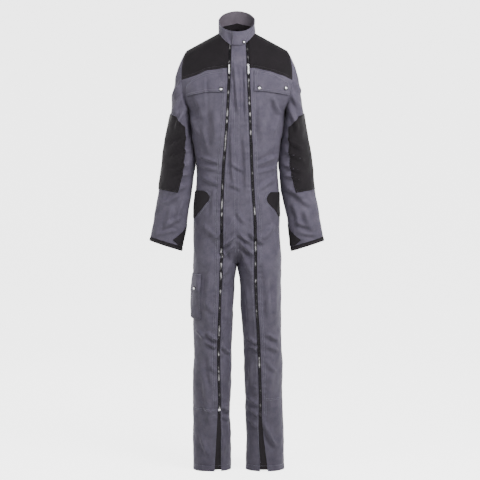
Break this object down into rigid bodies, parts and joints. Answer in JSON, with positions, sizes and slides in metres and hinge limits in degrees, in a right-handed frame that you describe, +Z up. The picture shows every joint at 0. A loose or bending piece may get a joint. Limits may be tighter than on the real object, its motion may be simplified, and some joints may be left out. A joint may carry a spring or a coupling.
{
  "type": "boiler suit",
  "caption": "Long-sleeved one-piece work suit, filled out as worn, with a stand collar, full-length front zips, dark shoulder, elbow and hem panels and flap pockets.",
  "frame": {"origin": "between the shoulders, 1.520 m above the hems, where the wearer carries the suit", "axes": "+Z up, +X to the wearer's left, the front faces -Y"},
  "size_m": [0.621, 0.2408, 1.6405],
  "materials": {
    "cloth_grey": "matt twill",
    "cloth_black": "matt twill",
    "zip_tape": "woven tape with metal teeth",
    "steel": "polished"
  },
  "bodies": {
    "suit": {"front_centre": "cloth_grey", "front_left": "cloth_grey", "shin_left": "cloth_grey", "back_left": "cloth_grey", "yoke_front_left": "cloth_black", "zip_left": "zip_tape", "hem_gusset_left": "cloth_black", "sleeve_left": "cloth_grey", "cuff_left": "cloth_black", "elbow_patch_left": "cloth_black", "cuff_gusset_left": "cloth_black", "chest_flap_left": "cloth_grey", "hip_facing_left": "cloth_black", "slider_left": "steel", "zip_stop_left": "steel", "front_right": "cloth_grey", "shin_right": "cloth_grey", "back_right": "cloth_grey", "yoke_front_right": "cloth_black", "zip_right": "zip_tape", "hem_gusset_right": "cloth_black", "sleeve_right": "cloth_grey", "cuff_right": "cloth_black", "elbow_patch_right": "cloth_black", "cuff_gusset_right": "cloth_black", "chest_flap_right": "cloth_grey", "hip_facing_right": "cloth_black", "slider_right": "steel", "zip_stop_right": "steel", "yoke_back": "cloth_black", "collar": "cloth_grey", "collar_tab": "cloth_grey", "cargo_pocket": "cloth_grey", "cargo_flap": "cloth_grey", "chest_snap_1": "steel", "chest_snap_2": "steel", "chest_snap_3": "steel", "collar_snap": "steel", "cargo_snap": "steel"},
    "tab_left": {"pull_left": "steel"},
    "tab_right": {"pull_right": "steel"}
  },
  "joints": [
    {"name": "pull_left_swing", "type": "hinge", "parent": "suit", "child": "tab_left", "pos_m": [0.04013, -0.10049, -0.08103], "axis": [0.9963, 0.0826, -0.0246], "range_deg": [-140, 0]},
    {"name": "pull_right_swing", "type": "hinge", "parent": "suit", "child": "tab_right", "pos_m": [-0.02688, -0.10153, -0.08113], "axis": [0.9977, -0.0652, 0.0186], "range_deg": [-140, 0]}
  ]
}
